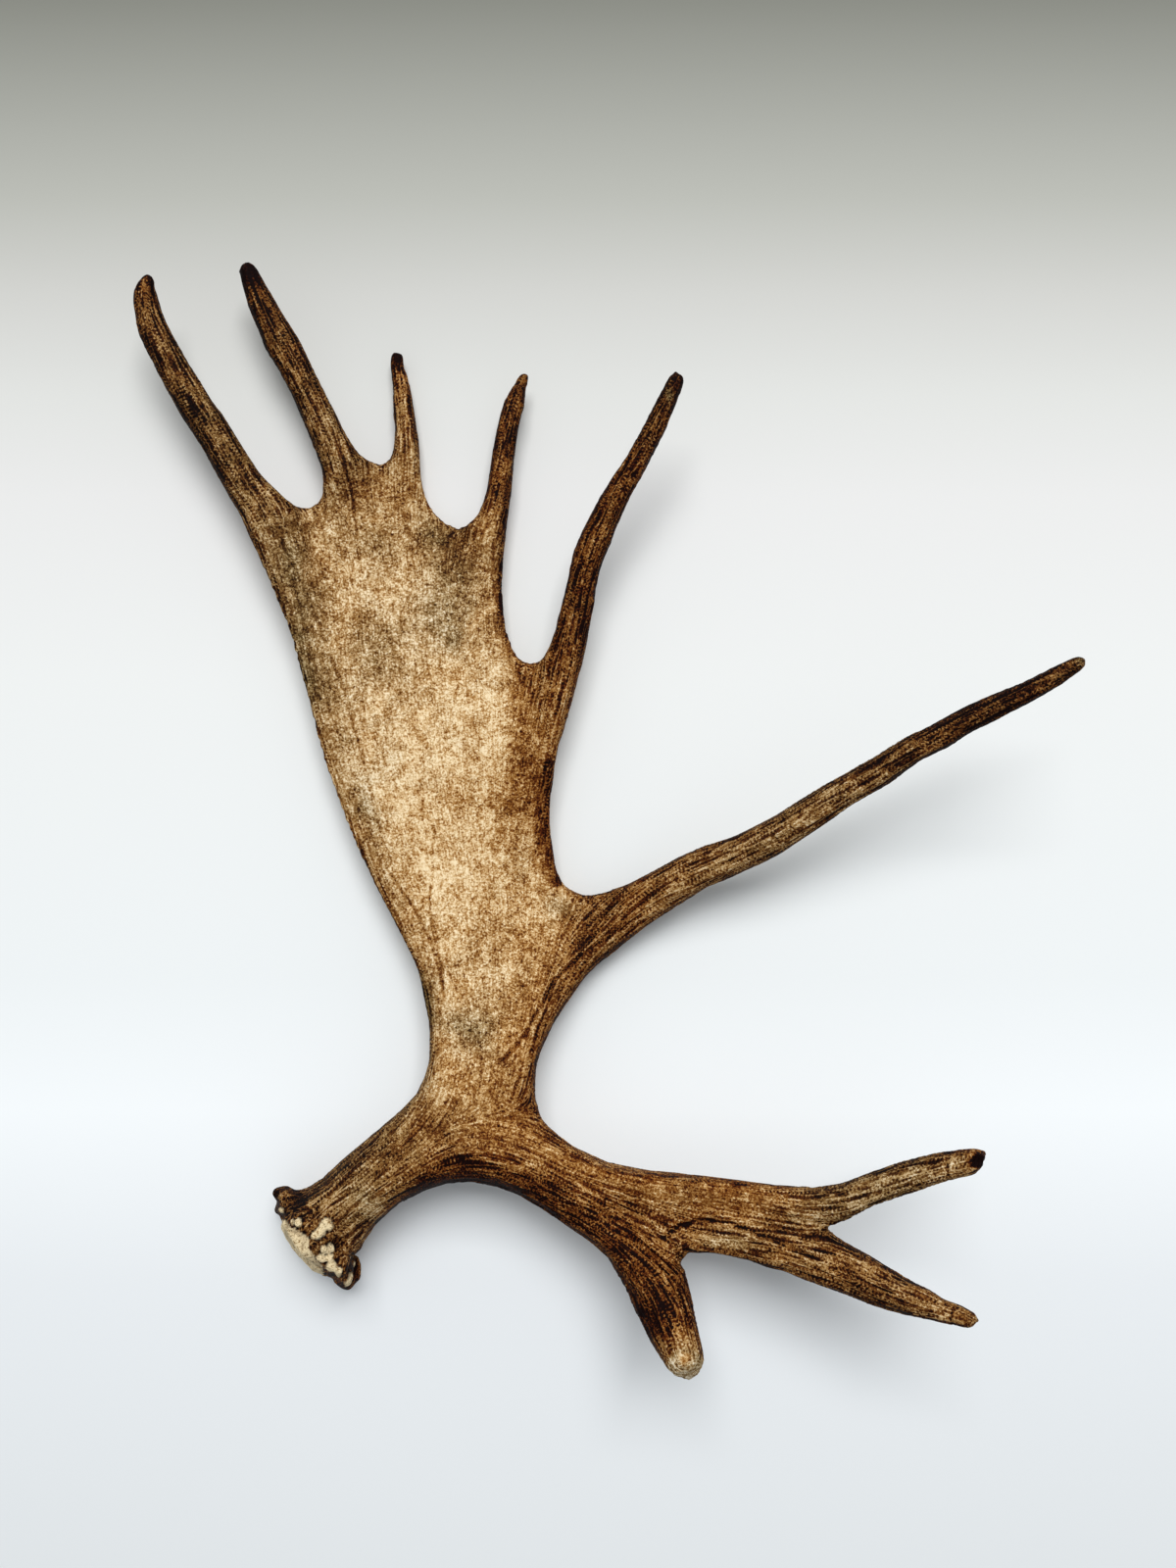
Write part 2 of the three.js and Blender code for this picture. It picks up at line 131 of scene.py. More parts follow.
# The antler's outline on that drawing.
OUTLINES = [
    # the lower edge of the brow branch with its first tine, the arch, the burr and the left margin
    [(246.5, -356.5), (256.5, -363.5), (269.5, -368), (279.5, -374), (282, -377.5), (279.5, -383),
     (272, -384.5), (265, -382.5), (244, -378), (229, -375), (215.5, -371), (200, -366),
     (184, -359.5), (168, -354), (155.5, -349), (141.5, -343.5), (127.5, -340), (113, -335),
     (99, -331.5), (85.5, -330.5), (75, -330.5), (69, -331), (66.5, -333), (68.5, -339),
     (70.5, -346), (74, -360.5), (77.5, -376.5), (80.5, -390), (83, -402), (83.5, -409),
     (80.5, -417), (75, -421.5), (69.5, -421), (63, -419), (57.5, -414), (53.5, -407.5), (48, -399),
     (41.5, -387), (34.5, -372.5), (28, -357), (21, -345.5), (14.5, -333), (0.5, -321),
     (-16.5, -310), (-33, -298), (-50, -288.5), (-67, -282), (-84, -279), (-101, -280),
     (-118, -285.5), (-135.5, -294), (-152.5, -309), (-156, -313.5), (-161.5, -322), (-165, -328),
     (-165, -333.5), (-163.5, -339.5), (-163.5, -345), (-166, -349.5), (-169, -352), (-170.5, -357),
     (-175.5, -358), (-180, -356), (-182.5, -350.5), (-184, -347.5), (-190, -346), (-196.5, -343.5),
     (-202, -339.5), (-206.5, -335), (-211.5, -328.5), (-216, -323), (-219.5, -317), (-221, -311),
     (-221, -305), (-224, -303), (-226.5, -300), (-225, -295.5), (-226, -292), (-228.5, -287.5),
     (-227, -284.5), (-223.5, -282.5), (-218, -282.5), (-211.5, -284), (-206.5, -284),
     (-201, -282.5), (-196, -279.5), (-191, -276), (-186.5, -271.5), (-180.5, -266), (-166, -253.5),
     (-148.5, -239), (-134.5, -227), (-123.5, -215.5), (-117.5, -202.5), (-114.5, -192),
     (-114, -173), (-115, -161.5), (-117.5, -150.5), (-119.5, -140.5), (-121.5, -130.5),
     (-124.5, -122), (-128.5, -113.5), (-138.5, -94), (-154, -64), (-164.5, -41.5), (-174, -19),
     (-181.5, 2.5), (-189, 22), (-195, 42), (-201, 67.5), (-208, 91.5), (-213.5, 114),
     (-222, 136.5), (-233.5, 163), (-242.5, 183), (-252, 204)],
    # tine 1
    [(-233.5, 163), (-242.5, 183), (-252, 204), (-259.5, 216), (-268.5, 232), (-277.5, 249),
     (-286, 262), (-295, 276), (-304, 293), (-313, 310), (-321, 325.5), (-324, 332.5), (-326, 341),
     (-328.5, 356), (-327.5, 365), (-322.5, 374), (-317, 376.5), (-313, 374.5), (-313, 369.5),
     (-309, 353.5), (-305.5, 344), (-300.5, 334), (-286.5, 309), (-270.5, 283), (-263.5, 274),
     (-247.5, 248.5), (-239, 235.5), (-226, 221.5)],
    # between tines 1 and 2
    [(-247.5, 248.5), (-239, 235.5), (-233.5, 228.5), (-226, 221.5), (-219, 214.5), (-212, 209),
     (-204.5, 207), (-198, 208.5), (-193.5, 213), (-191.5, 218.5), (-191, 227), (-192, 235),
     (-196, 246)],
    # tine 2
    [(-191, 227), (-192, 235), (-196, 246), (-204.5, 267), (-214, 289.5), (-219.5, 299.5),
     (-224, 308), (-232, 320), (-236, 331), (-242.5, 346), (-245.5, 353.5), (-251, 373.5),
     (-252, 380), (-249, 384), (-246.5, 385), (-244, 384.5), (-240, 381.5), (-231, 366),
     (-221.5, 349.5), (-209, 329.5), (-196, 303), (-183, 276.5), (-177, 264), (-171, 254)],
    # between tines 2 and 3
    [(-189, 289), (-182.5, 276.5), (-177, 264), (-171, 254), (-165.5, 246.5), (-158.5, 241.5),
     (-152.5, 239), (-147, 239), (-143, 242.5), (-140, 250.5), (-139, 262), (-140, 274)],
    # tine 3
    [(-143, 242.5), (-140, 250.5), (-139, 262), (-140.5, 277.5), (-141, 298.5), (-143, 312.5),
     (-141.5, 317.5), (-139, 321), (-136, 320), (-133.5, 317.5), (-132.5, 308.5), (-130, 302),
     (-127.5, 290), (-124, 267.5), (-122, 255.5), (-121.5, 241.5)],
    # between tines 3 and 4
    [(-124, 267.5), (-122, 255.5), (-121.5, 241.5), (-121, 233), (-119.5, 223), (-116.5, 213),
     (-111.5, 204.5), (-106, 199), (-100.5, 195), (-93.5, 193), (-86.5, 195.5), (-80.5, 200.5),
     (-76.5, 209), (-73.5, 218.5), (-71.5, 230), (-69, 247.5)],
    # tine 4
    [(-73.5, 218.5), (-71.5, 230), (-69, 247.5), (-65, 268), (-60.5, 283.5), (-56, 292),
     (-49, 303.5), (-46.5, 306), (-44.5, 306), (-43, 303.5), (-43, 300), (-45.5, 288), (-46, 280),
     (-49, 270.5), (-51, 259.5), (-53.5, 241.5), (-55, 220)],
    # between tines 4 and 5
    [(-51, 259.5), (-53.5, 241.5), (-55, 220), (-58, 197.5), (-61, 173.5), (-62, 151), (-60.5, 128),
     (-58.5, 117), (-55.5, 108.5), (-52.5, 102), (-48, 97), (-42.5, 95), (-37, 95.5), (-32.5, 99),
     (-28.5, 105.5), (-24, 117.5), (-20, 134), (-15.5, 152), (-12, 168.5)],
    # tine 5
    [(-20, 134), (-15.5, 152), (-12, 168.5), (-9.5, 177.5), (-3, 193), (9, 216), (26.5, 242.5),
     (37.5, 262), (57, 299.5), (59.5, 303.5), (62, 305.5), (67, 304.5), (69.5, 300), (68, 293.5),
     (55.5, 262.5), (38.5, 229.5), (29.5, 213.5), (19, 190.5), (16, 180.5), (12, 172), (8.5, 161.5),
     (5.5, 146.5), (4.5, 138), (-4, 95.5), (-11, 70), (-18, 45), (-21, 36.5), (-24, 22),
     (-26.5, 1)],
    # between tines 5 and 6
    [(-18, 45), (-21, 36.5), (-24, 22), (-26.5, 1), (-27.5, -10.5), (-27.5, -20.5), (-26.5, -31.5),
     (-25, -41.5), (-23.5, -51.5), (-20.5, -59), (-17, -65), (-12.5, -68.5), (-7, -71),
     (-0.5, -72.5), (5.5, -71.5), (14, -69.5), (27, -65), (42.5, -57), (63.5, -45.5), (85, -36),
     (105.5, -29.5)],
    # tine 6
    [(63.5, -45.5), (85, -36), (94, -33.5), (105.5, -29.5), (123.5, -21), (136.5, -14),
     (146.5, -7.5), (169.5, 7), (205.5, 27), (229, 41.5), (244.5, 49), (273.5, 65), (310.5, 80),
     (351.5, 100), (355.5, 100), (359, 98), (359.5, 93.5), (356, 90), (336.5, 76.5), (315.5, 64.5),
     (277, 45.5), (259.5, 34.5), (239.5, 24.5), (216.5, 8), (189.5, -7.5), (165, -25), (141.5, -41),
     (126.5, -49), (117.5, -53), (102.5, -60), (85, -67), (63.5, -80.5)],
    # the neck, the upper edge of the brow branch and its third tine
    [(102.5, -60), (85, -67), (63.5, -80.5), (42.5, -94.5), (24.5, -108.5), (14, -116.5), (7, -122),
     (-1.5, -130.5), (-10, -142), (-17, -152), (-24, -163), (-29.5, -174.5), (-34, -184.5),
     (-37, -194), (-38, -204), (-38, -218), (-34, -232.5), (-28.5, -239.5), (-10.5, -253.5),
     (14, -264.5), (39, -270), (74, -273.5), (109.5, -277.5), (138, -281.5), (162.5, -283),
     (184, -279.5), (205, -271.5), (226, -264.5), (251, -258), (268, -255.5), (278.5, -254.5),
     (286, -256.5), (287.5, -259), (284.5, -268.5), (278, -274.5), (259, -278), (243, -283.5),
     (230, -288)],
    # between the brow branch's third and second tines
    [(259, -278), (243, -283.5), (230, -288), (205, -296.5), (191, -304), (181, -308.5),
     (174.5, -311), (173.5, -312.5), (179, -318), (191, -325.5), (205, -333), (225.5, -346),
     (239.5, -353.5), (246.5, -356.5), (256.5, -363.5), (269.5, -368)],
]

# The soft face of the palm, which is smooth between its rims.
PALM_FACE = [
    (-238, 178), (-208, 203), (-186, 216), (-165, 232), (-136, 232), (-118, 206), (-94, 190),
    (-72, 170), (-64, 120), (-46, 88), (-32, 50), (-34, 0), (-32, -50), (-12, -84), (-38, -150),
    (-48, -195), (-100, -205), (-113, -170), (-121, -125), (-143, -80), (-169, -30), (-190, 20),
    (-207, 80), (-219, 126),
]

# Blood vessel furrows in the palm, and cracks: the line, how deep and how wide, in mm, and how
# much darker.
FURROWS = [
    ([(-175, 234), (-170, 217), (-168, 199), (-166, 178), (-163, 156)], 0.4, 1.1, 0.2),
    ([(-187, 104), (-180, 86), (-174, 68), (-169, 50), (-164, 33), (-160, 15), (-155, -3),
      (-151, -20), (-147, -36), (-142, -50), (-139, -58)], 0.4, 1.1, 0.18),
    ([(-144, -54), (-139, -62), (-133, -71), (-126, -82), (-119, -94), (-113, -107), (-109, -121),
      (-106, -133), (-104, -148)], 0.6, 1.2, 0.26),
    ([(-112, -27), (-112, -43), (-112, -57), (-114, -70), (-114, -81), (-112, -94), (-110, -107),
      (-107, -119), (-105, -132), (-103, -145)], 0.5, 1.2, 0.22),
    ([(-129, 12), (-129, -6), (-130, -22)], 0.2, 1, 0.08),
    ([(-92, 86), (-95, 74), (-98, 63), (-100, 50)], 0.3, 1, 0.16),
    ([(-228, 192), (-219, 178), (-210, 160), (-201, 139), (-192, 118), (-187, 104)], 0.5, 1.3,
      0.16),
    ([(-29, 28), (-34, 14), (-37, -3), (-37, -24), (-35, -45), (-31, -63)], 0.25, 1, 0.1),
    ([(-24, 34), (-28, 14), (-30.5, -3), (-31, -24), (-29, -45), (-26, -57)], 0.4, 0.9, 0.14),
    ([(-64, -193), (-54, -183), (-45, -172), (-38, -159), (-31, -145), (-24, -133), (-14, -124),
      (0, -112), (18, -99)], 0.8, 1.5, 0.28),
    ([(-58, 98), (-49, 87), (-47, 75)], 0.3, 1, 0.12),
    ([(-212, 149), (-204, 121), (-197, 93), (-188, 68), (-180, 40)], 0.3, 1.1, 0.14),
    ([(-62, 29), (-57, 35), (-49, 45)], 0.3, 1, 0.16),
    ([(54, -320), (62, -313), (75, -308), (88, -306.5), (102, -308.5), (113, -313), (128, -318.5),
      (142, -324.5), (162, -333.5)], 1, 1.7, 0.34),
    ([(261, -257), (259, -267), (260, -278)], 0.9, 1.2, 0.4),
    ([(282, -376), (276, -371.5), (269.5, -368.5), (264.5, -369.5), (262, -374), (261.5, -378),
      (264, -382.5), (268, -384)], 0.4, 1, 0.3),
    ([(67, -411), (61, -417)], 0.5, 0.9, 0.25),
    ([(70, -412), (68, -421)], 0.5, 0.9, 0.25),
    ([(73, -411), (77, -419)], 0.5, 0.9, 0.25),
    ([(76, -408), (83, -412)], 0.5, 0.9, 0.25),
    ([(64, -406), (55, -408)], 0.5, 0.9, 0.25),
    ([(66, -402), (59, -397)], 0.5, 0.9, 0.25),
    ([(-166, -331), (-167, -341), (-168, -351)], 1.6, 1.5, 0.6),
]

# Stains and pale areas of the hollow side: where, radius along x and y, how much darker, how much
# greyer.
STAINS = [
    (-100, 176, 18, 16, 0.19, 0.3), (-92, 160, 11, 11, 0.12, 0.25), (-113, 188, 13, 13, 0.1, 0.4),
    (-106, 135, 18, 21, 0.04, 0.5), (-99, 111, 10, 11, 0.03, 0.5), (-159, 220, 13, 10, 0.12, 0),
    (-140, 217, 8, 7, 0.1, 0), (-152, 178, 14, 16, 0.06, 0.25), (-148, 107, 21, 28, 0.07, 0.3),
    (-141, 86, 24, 11, 0.07, 0.2), (-180, 128, 10, 10, 0.08, 0), (-185, 149, 11, 4, 0.06, 0),
    (-214, 171, 13, 21, 0.05, 0.4), (-207, 107, 8, 28, 0.05, 0.3), (-201, 86, 7, 14, 0.04, 0.2),
    (-39, 79, 14, 14, 0.02, -0.05), (-42, 40, 16, 18, -0.04, -0.05), (-42, 60, 14, 20, -0.05, 0),
    (-88, -110, 30, 60, 0.03, 0), (-37, 15, 10, 10, 0.08, 0), (-92, 1, 21, 11, 0.08, 0),
    (-57, -3, 16, 11, 0.12, -0.05), (-59, -27, 10, 10, 0.12, 0), (-67, -33, 14, 6, 0.06, 0),
    (-120, 47, 14, 21, -0.08, -0.1), (-99, 65, 21, 35, -0.04, 0), (-106, 22, 42, 21, -0.05, 0),
    (-92, -63, 28, 17, -0.06, 0), (-145, 15, 14, 21, -0.05, 0), (-173, 79, 8, 11, -0.05, 0),
    (-198, 185, 14, 14, -0.07, 0), (-180, 206, 8, 21, -0.05, 0), (-74, 75, 11, 14, -0.08, 0),
    (-161, -3, 6, 14, 0.04, 0.4), (-153, -20, 6, 10, 0.08, 0.3), (-145, -71, 7, 7, 0.12, 0),
    (-113, -144, 6, 17, 0.16, 0.3), (-103, -162, 5, 31, -0.14, 0), (-81, -172, 16, 14, 0.03, 0.5),
    (-92, -162, 14, 11, 0.05, 0.4), (-57, -126, 24, 10, -0.05, 0.1), (-42, -105, 24, 10, 0.08, 0),
    (-21, -80, 11, 8, 0.04, 0.5), (-99, -186, 8, 8, 0.08, 0), (-110, -217, 10, 8, -0.12, 0),
    (-45, -222, 10, 14, 0.12, 0), (-179, -352, 4, 5, 0.1, -0.3), (-314, 371, 4, 9, 0.4, 0),
    (-247, 374, 12, 12, 0.4, 0), (-137, 316, 6, 7, 0.45, 0), (62, 292, 9, 14, 0.12, 0),
    (-173, 0, 5, 20, -0.08, 0), (356, 97, 4, 4, -0.2, 0.5), (58.5, 289, 3.5, 6, -0.3, 0.8),
    (-50, 293, 7, 8, 0.12, 0.1), (-162, -292, 8, 13, -0.08, 0.3), (98, -322, 16, 6, -0.16, 0.4),
    (-22, -246, 20, 5, 0.06, -0.2), (70.5, -406.5, 6, 5, 0.05, -0.6), (269, -264, 6, 7, 0.06, 0.2),
    (280, -262, 5, 6, 0.15, -0.5),
]

# Dark bands: the line, how wide, how much darker, how much greyer.
BANDS = [
    # The first band, along the lower edge of the beam and the first brow tine, is partly stain and
    # partly painted shade.
    ([(-141, -300), (-120, -283), (-92, -275), (-70, -275), (-49, -282), (-28, -293), (-7, -307),
      (14, -325), (28, -345), (39, -367), (48, -388)], 11, 0.28, -0.2),
    ([(-28, -275), (0, -290), (28, -313), (46, -338), (57, -367), (62, -390)], 8, 0.12, -0.2),
    ([(-34, -190), (-30, -215), (-20, -236), (-4, -250)], 7, 0.12, 0),
    ([(-27, 22), (-30, 0), (-30, -24), (-28, -45), (-21, -62)], 7, 0.38, 0),
    ([(-60, 228), (-61, 190), (-64, 150), (-62, 118), (-55, 103)], 5, 0.26, 0),
    ([(-118, -190), (-117, -160), (-123, -130)], 5, 0.14, 0.4),
    ([(-145, -88), (-132, -110), (-124, -128)], 5, 0.14, 0),
    ([(205, -268), (225, -262), (250, -256), (270, -253)], 4, 0.18, 0),
    ([(-320, 330), (-298, 285), (-274, 245), (-254, 208), (-238, 175)], 6, 0.18, 0),
    ([(-244, 350), (-231, 322), (-217, 297), (-198, 255)], 4, 0.14, 0),
    ([(-158, -303), (-142, -290), (-124, -280)], 4, -0.16, 0.2),
]

# The burr's pearls, worn white on top: where and radius. The last five make one long worn lobe.
PEARLS = [
    (-188.5, -310, 4.8), (-192.5, -315, 3.6), (-197.5, -318.5, 2.8), (-190, -328, 3.6),
    (-185.5, -326.5, 3.2), (-192, -333.5, 3.2), (-187, -334, 3), (-184.5, -339.5, 4),
    (-180.5, -343, 3), (-181.5, -346.5, 3.6), (-208.5, -308.5, 2.6), (-213.5, -308, 2),
    (-222.5, -300.5, 2.6), (-170.5, -334, 1.8), (-170, -338, 2), (-170, -342.5, 2.5),
    (-171, -347.5, 3.2), (-172.5, -352, 4.2),
]

# The seal, where the antler broke from the skull, as far as it shows from above.
SEAL = [
    (-222, -305), (-217, -308.5), (-215, -312), (-208.5, -314.5), (-204, -318.5), (-201, -322),
    (-202, -326.5), (-197.5, -331.5), (-196.5, -336), (-192, -339.5), (-191, -345), (-190, -350),
    (-212, -352), (-232, -326),
]

# The burr and its seal, in mm.
BURR_CENTRE = np.array([-189.6, -308.8, 33.6])
BURR_FACING = np.array([-0.69, -0.54, 0.48]) / np.linalg.norm([-0.69, -0.54, 0.48])
SEAL_RADIUS = 28.0
SEAL_DOME = (31, 31, 11)

# The hollow end of the third brow tine, and the worn end of the first with its core.
HOLLOW_END = (281.5, -263.5)
WORN_END = (70.5, -411)
WORN_CORE = (70.5, -406.5)

SWELL = 0.35 * MM  # closes the gaps between the solids at the forks
VOXEL = 2.9 * MM  # of the skin, before one round of subdivision halves it
CLEFT_ROUNDS = 60
FIT_ROUNDS = 7
FIT_REACH = 18  # mm to either side of an outline

# How far apart the ridges stand, in mm. The finest real ones are about 1 mm apart, which is too
# fine to show, so they are drawn as coarse as this.
BROAD_RIDGES = 3.8
NARROW_RIDGES = 2.8


def linear(hex_colour):
    """The linear colour, with alpha, of an sRGB hex value."""
    parts = [int(hex_colour[i:i + 2], 16) / 255 for i in (1, 3, 5)]
    return [p / 12.92 if p <= 0.04045 else ((p + 0.055) / 1.055) ** 2.4 for p in parts] + [1.0]


def add_node(tree, kind, settings=None, inputs=None, stops=()):
    """Adds a node with its settings, its inputs, as values or as links from other nodes, and the
    colour stops of its ramp."""
    node = tree.nodes.new("ShaderNode" + kind)
    for name, value in (settings or {}).items():
        setattr(node, name, value)
    for name, value in (inputs or {}).items():
        if isinstance(value, bpy.types.NodeSocket):
            tree.links.new(value, node.inputs[name])
        else:
            node.inputs[name].default_value = value
    if stops:
        elements = node.color_ramp.elements
        while len(elements) < len(stops):
            elements.new(0.5)
        for element, (at, colour) in zip(elements, stops):
            element.position = at
            element.color = linear(colour)
    return node


def add_object(name, data):
    """Adds an object to the scene."""
    obj = bpy.data.objects.new(name, data)
    bpy.context.scene.collection.objects.link(obj)
    return obj


def activate(obj):
    """Selects the object alone and makes it the active one."""
    bpy.ops.object.select_all(action="DESELECT")
    obj.select_set(True)
    bpy.context.view_layer.objects.active = obj


def apply_modifier(obj, kind, **settings):
    """Adds a modifier with its settings and applies it."""
    activate(obj)
    modifier = obj.modifiers.new(kind.lower(), kind)
    for name, value in settings.items():
        setattr(modifier, name, value)
    bpy.ops.object.modifier_apply(modifier=modifier.name)


def positions(mesh):
    """The mesh's points, in metres."""
    flat = np.empty(len(mesh.vertices) * 3, dtype=np.float32)
    mesh.vertices.foreach_get("co", flat)
    return flat.reshape(-1, 3).astype(np.float64)


def set_positions(mesh, points):
    mesh.vertices.foreach_set("co", points.astype(np.float32).ravel())
    mesh.update()


def normals(mesh):
    """The outward direction at each of the mesh's points."""
    flat = np.empty(len(mesh.vertices) * 3, dtype=np.float32)
    mesh.vertex_normals.foreach_get("vector", flat)
    return flat.reshape(-1, 3).astype(np.float64)


def norms(vectors):
    """The length of each vector."""
    return np.linalg.norm(vectors, axis=1)


def smoothstep(low, high, value):
    """A smooth step from 0 at low to 1 at high."""
    t = np.clip((value - low) / (high - low), 0, 1)
    return t * t * (3 - 2 * t)


def plan(points):
    """Where an eye at EYE sees the points on the floor, in mm."""
    return EYE[:2] + (points[:, :2] - EYE[:2]) * (EYE[2] / (EYE[2] - points[:, 2:3]))


def resampled(line, step):
    """The line as points a step apart, with the direction at each."""
    line = np.array(line, dtype=float)
    lengths = np.concatenate([[0], np.cumsum(norms(np.diff(line, axis=0)))])
    at = np.linspace(0, lengths[-1], max(3, int(lengths[-1] / step) + 1))
    dense = np.stack([np.interp(at, lengths, line[:, k]) for k in range(2)], axis=1)
    ways = np.gradient(dense, axis=0)
    return dense, ways / norms(ways)[:, None]


def inside(flat, corners):
    """Whether each point of the drawing lies within the polygon."""
    corners = np.array(corners, dtype=float)
    result = np.zeros(len(flat), dtype=bool)
    for (x0, y0), (x1, y1) in zip(corners, np.roll(corners, -1, axis=0)):
        if y0 != y1:
            crosses = (flat[:, 1] < y0) != (flat[:, 1] < y1)
            result ^= crosses & (flat[:, 0] < x0 + (flat[:, 1] - y0) * (x1 - x0) / (y1 - y0))
    return result


def beside(flat, line, reach):
    """Which points lie within reach of the line, their nearest sample of it, and how far they are
    off to its left."""
    dense, ways = line
    low, high = dense.min(0) - reach, dense.max(0) + reach
    near = np.nonzero(np.all((flat > low) & (flat < high), axis=1))[0]
    if not len(near):
        return near, near, np.zeros(0)
    nearest, off, past = [], [], []
    for first in range(0, len(near), 4000):
        gaps = flat[near[first:first + 4000]][:, None] - dense[None]
        at = (gaps ** 2).sum(2).argmin(1)
        gap = gaps[np.arange(len(at)), at]
        nearest.append(at)
        off.append(gap[:, 1] * ways[at, 0] - gap[:, 0] * ways[at, 1])
        past.append(np.abs((gap * ways[at]).sum(1)))
    nearest, off, past = np.concatenate(nearest), np.concatenate(off), np.concatenate(past)
    kept = (np.abs(off) < reach) & (past < 3)
    return near[kept], nearest[kept], off[kept]


def neighbour_means(mesh):
    """A function that averages values over each point's neighbours."""
    edges = np.empty(len(mesh.edges) * 2, dtype=np.int32)
    mesh.edges.foreach_get("vertices", edges)
    a, b = edges.reshape(-1, 2).T
    ends, others = np.concatenate([a, b]), np.concatenate([b, a])
    total = len(mesh.vertices)
    count = np.bincount(ends, minlength=total)
    return lambda values: np.bincount(ends, values[others], total) / count


def margins(flat):
    """How far each point of the drawing is from the outline, in mm, up to 30."""
    result = np.full(len(flat), 30.0)
    for line in OUTLINES:
        near, nearest, off = beside(flat, resampled(line, 2.0), 30)
        result[near] = np.minimum(result[near], np.abs(off))
    return result


def relax(mesh, rounds):
    """Evens out the mesh without shrinking it, by a push in and a slightly larger push out each
    round."""
    points = positions(mesh)
    mean = neighbour_means(mesh)
    for step in range(rounds * 2):
        around = np.stack([mean(points[:, k]) for k in range(3)], axis=1)
        points += (around - points) * (0.5 if step % 2 == 0 else -0.52)
    set_positions(mesh, points)


def level_palm(mesh):
    """Runs the roots of the tines smoothly out into the palm. Its rims keep their roundness."""
    points = positions(mesh)
    mean = neighbour_means(mesh)
    weight = inside(plan(points / MM), PALM_FACE)
    weight = weight * smoothstep(0.3, 0.65, np.abs(normals(mesh)[:, 2]))
    for step in range(6):
        weight = np.minimum(weight, mean(weight)) if step < 2 else mean(weight)
    for _ in range(300):
        points[:, 2] += (mean(points[:, 2]) - points[:, 2]) * weight * 0.9
    set_positions(mesh, points)


def fill_clefts(mesh):
    """Fills the sharp valleys where the solids meet at the forks. Rounded and level places stay as
    they are, and so does the burr."""
    points = positions(mesh)
    mean = neighbour_means(mesh)
    near = smoothstep(18, 10, margins(plan(points / MM)))
    near *= smoothstep(45, 60, norms(points / MM - BURR_CENTRE))
    for _ in range(CLEFT_ROUNDS):
        outward = normals(mesh)
        around = np.stack([mean(points[:, k]) for k in range(3)], axis=1)
        lift = np.clip(((around - points) * outward).sum(1) - 0.02 * MM, 0, None) * near
        points += outward * lift[:, None]
        set_positions(mesh, points)


def fit_outlines(mesh):
    """Shifts the bone near each outline until its silhouette runs along it. Bone further in than
    13 mm stays."""
    points = positions(mesh) / MM
    for line in OUTLINES:
        dense, ways = resampled(line, 3.0)
        across = np.stack([-ways[:, 1], ways[:, 0]], axis=1)
        near, nearest, off = beside(plan(points), (dense, ways), FIT_REACH)
        if np.median(off) > 0:
            off, across = -off, -across
        rim = np.full(len(dense) + 8, -99.0)
        np.maximum.at(rim, nearest + 4, off)
        seen = np.nonzero(rim > -50)[0]
        rim = np.interp(np.arange(len(rim)), seen, rim[seen])
        rim = np.convolve(np.clip(rim, -6, 9), (0.25, 0.5, 0.25), mode="same")[4:-4]
        count = np.arange(len(dense))
        push = -rim * smoothstep(0, 1, np.clip(np.minimum(count, count[::-1]) / 4, 0, 1))
        moved = push[nearest] * smoothstep(-13, -1, off - rim[nearest])
        sight = (EYE[2] - points[near, 2:3]) / EYE[2]
        points[near, :2] += across[nearest] * moved[:, None] * sight
    set_positions(mesh, points * MM)


def lattice_noise(points, size, seed):
    """Smooth solid noise from 0 to 1, with lumps of that size in mm."""
    scaled = points / size + 500.0
    cell = np.floor(scaled).astype(np.int64)
    part = scaled - cell
    part = part * part * (3 - 2 * part)
    total = np.zeros(len(points))
    for corner in range(8):
        bits = [(corner >> k) & 1 for k in range(3)]
        key = (cell[:, 0] + bits[0]) * 374761393 + (cell[:, 1] + bits[1]) * 668265263
        key = (key + (cell[:, 2] + bits[2]) * 2147483647 + seed * 144665) & 0xFFFFFFFF
        key = ((key ^ (key >> 13)) * 1274126177) & 0xFFFFFFFF
        value = ((key ^ (key >> 16)) & 0xFFFF) / 65535.0
        weight = np.ones(len(points))
        for k in range(3):
            weight *= part[:, k] if bits[k] else 1 - part[:, k]
        total += value * weight
    return total


def guide_samples():
    """Points every few mm along the guides, with their directions and their darkness, greyness and
    groove depth."""
    places, ways, marks = [], [], []
    for line in GUIDES:
        line = np.array(line, dtype=float)
        line[:, :3] -= GUIDE_ORIGIN
        for start, end in zip(line[:-1], line[1:]):
            length = np.linalg.norm(end[:3] - start[:3])
            for t in np.arange(0, 1, min(1.0, 6.0 / length)):
                here = start + (end - start) * t
                places.append(here[:3])
                ways.append((end[:3] - start[:3]) / length)
                marks.append(here[3:])
        places.append(line[-1, :3])
        ways.append(ways[-1])
        marks.append(line[-1, 3:])
    return np.array(places), np.array(ways), np.array(marks)


def from_guides(points, reach, values):
    """values of the guides near each point, blended over that reach in mm."""
    result = np.empty((len(points), values.shape[1]))
    for first in range(0, len(points), 8000):
        some = points[first:first + 8000]
        away = np.sqrt(((some[:, None, :] - GUIDE_PLACES[None]) ** 2).sum(2))
        weight = np.exp(-(away - away.min(1, keepdims=True)) / reach)
        result[first:first + 8000] = weight @ values / weight.sum(1, keepdims=True)
    return result


